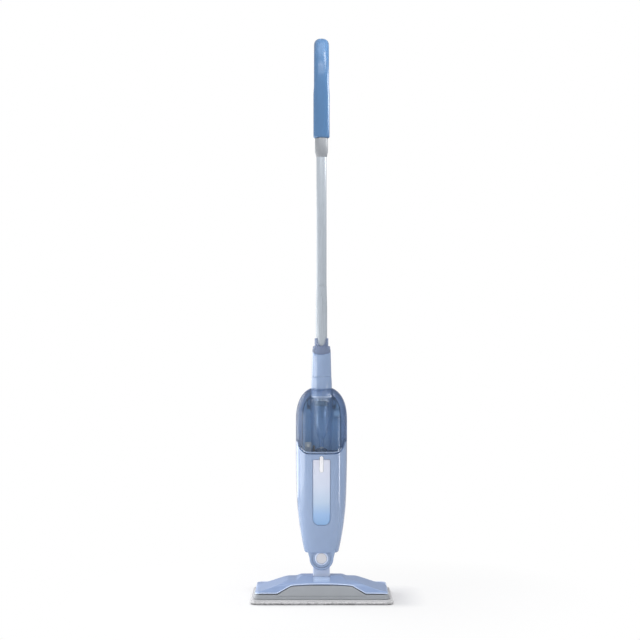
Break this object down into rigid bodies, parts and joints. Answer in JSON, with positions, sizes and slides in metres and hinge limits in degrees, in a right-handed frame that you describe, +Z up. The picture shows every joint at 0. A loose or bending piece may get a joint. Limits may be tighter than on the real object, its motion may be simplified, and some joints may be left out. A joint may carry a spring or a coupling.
{
  "type": "steam mop",
  "caption": "Upright corded steam mop: flat rectangular pad head on a double-pivot knuckle, slim body with a clear tank, pump-action pole and a loop handle.",
  "frame": {"origin": "centre of the mop pad's underside, on the floor", "axes": "+Z up along the pole, +X to the right as the mop is seen from its front, +Y towards the user, behind the mop; the front of the mop faces -Y"},
  "size_m": [0.301, 0.1799, 1.2054],
  "materials": {
    "body_blue": "pale blue moulded ABS, satin gloss",
    "panel_blue": "glossy white-to-blue inset",
    "handle_blue": "mid blue moulded plastic",
    "smoky_clear": "clear smoky-blue plastic",
    "white_plastic": "white moulded plastic",
    "grey_plastic": "grey moulded plastic",
    "silver_tube": "silver lacquered steel tube",
    "steel": "zinc-plated steel",
    "brass": "turned brass",
    "aluminium": "cast aluminium",
    "black_rubber": "black rubber",
    "slate_rubber": "slate blue rubber",
    "silicone": "translucent silicone",
    "microfibre": "white looped microfibre",
    "nylon": "natural nylon",
    "circuit_board": "green circuit board"
  },
  "bodies": {
    "head": {"mop_pad": "microfibre", "head_base": "grey_plastic", "steam_plate": "white_plastic", "head_cover": "body_blue", "hook_strip_left": "nylon", "hook_strip_right": "nylon", "bearing_left": "white_plastic", "bearing_right": "white_plastic", "pitch_pin": "steel", "steam_nipple": "brass", "head_hose": "silicone"},
    "knuckle": {"swivel_barrel": "body_blue", "swivel_block": "white_plastic", "roll_spigot": "brass"},
    "body": {"front_casing": "body_blue", "front_panel": "panel_blue", "indicator_lens": "white_plastic", "indicator_board": "circuit_board", "pivot_cap_front": "white_plastic", "rear_casing": "body_blue", "pivot_cap_rear": "white_plastic", "casing_screw_1": "steel", "casing_screw_2": "steel", "casing_screw_3": "steel", "casing_screw_4": "steel", "tank_cradle": "body_blue", "boiler": "aluminium", "boiler_bracket": "steel", "thermostat": "steel", "thermal_fuse": "brass", "heater_terminal_left": "steel", "heater_terminal_right": "steel", "check_valve": "white_plastic", "boiler_hose": "silicone", "inlet_hose": "silicone", "steam_elbow": "silicone", "terminal_block": "white_plastic", "cord_gland": "black_rubber", "lower_cord_hook": "body_blue", "valve_receiver": "silicone", "hose_barb": "brass", "pump_gasket": "black_rubber", "pump_cylinder": "smoky_clear", "neck_sleeve": "body_blue", "gland_outer_ring": "smoky_clear", "gland_scoop": "smoky_clear", "pump_spring": "steel"},
    "water_tank": {"tank_shell": "smoky_clear"},
    "tank_cap": {"tank_cap": "slate_rubber"},
    "tank_latch": {"tank_latch": "body_blue"},
    "handle": {"handle_half_left": "handle_blue", "handle_half_right": "handle_blue", "handle_collar": "grey_plastic", "upper_pole": "silver_tube", "lower_pole": "silver_tube", "pole_joiner": "nylon", "pump_rod": "nylon", "pump_piston": "black_rubber"},
    "cord_hook": {"upper_cord_hook": "grey_plastic"},
    "pole_button": {"pole_button": "grey_plastic"}
  },
  "joints": [
    {"name": "lean", "type": "hinge", "parent": "head", "child": "knuckle", "pos_m": [0, 0, 0.037], "axis": [-1, 0, 0], "range_deg": [0, 70]},
    {"name": "swivel", "type": "hinge", "parent": "knuckle", "child": "body", "pos_m": [0, 0, 0.0886], "axis": [0, 1, 0], "range_deg": [-45, 45]},
    {"name": "pump", "type": "slide", "parent": "body", "child": "handle", "axis": [0, 0, -1], "range_m": [0, 0.02], "stiffness_N_per_m": 500, "springref_m": -0.03, "deforming": ["pump_spring"]},
    {"name": "tank_pull", "type": "slide", "parent": "body", "child": "water_tank", "axis": [0, -1, 0], "range_m": [0, 0.1]},
    {"name": "cap_turn", "type": "hinge", "parent": "water_tank", "child": "tank_cap", "pos_m": [0.032, 0.008, 0.395], "axis": [0, 1, 0], "range_deg": [0, 90]},
    {"name": "latch_slide", "type": "slide", "parent": "body", "child": "tank_latch", "axis": [0, 0, -1], "range_m": [0, 0.005], "stiffness_N_per_m": 400, "springref_m": -0.003},
    {"name": "cord_hook_swivel", "type": "hinge", "parent": "handle", "child": "cord_hook", "pos_m": [0, 0.0162, 0.9658], "axis": [0, 1, 0], "range_deg": [0, 180]},
    {"name": "pole_button_press", "type": "slide", "parent": "body", "child": "pole_button", "axis": [0, -1, 0], "range_m": [0, 0.0025], "stiffness_N_per_m": 300, "springref_m": -0.003}
  ]
}
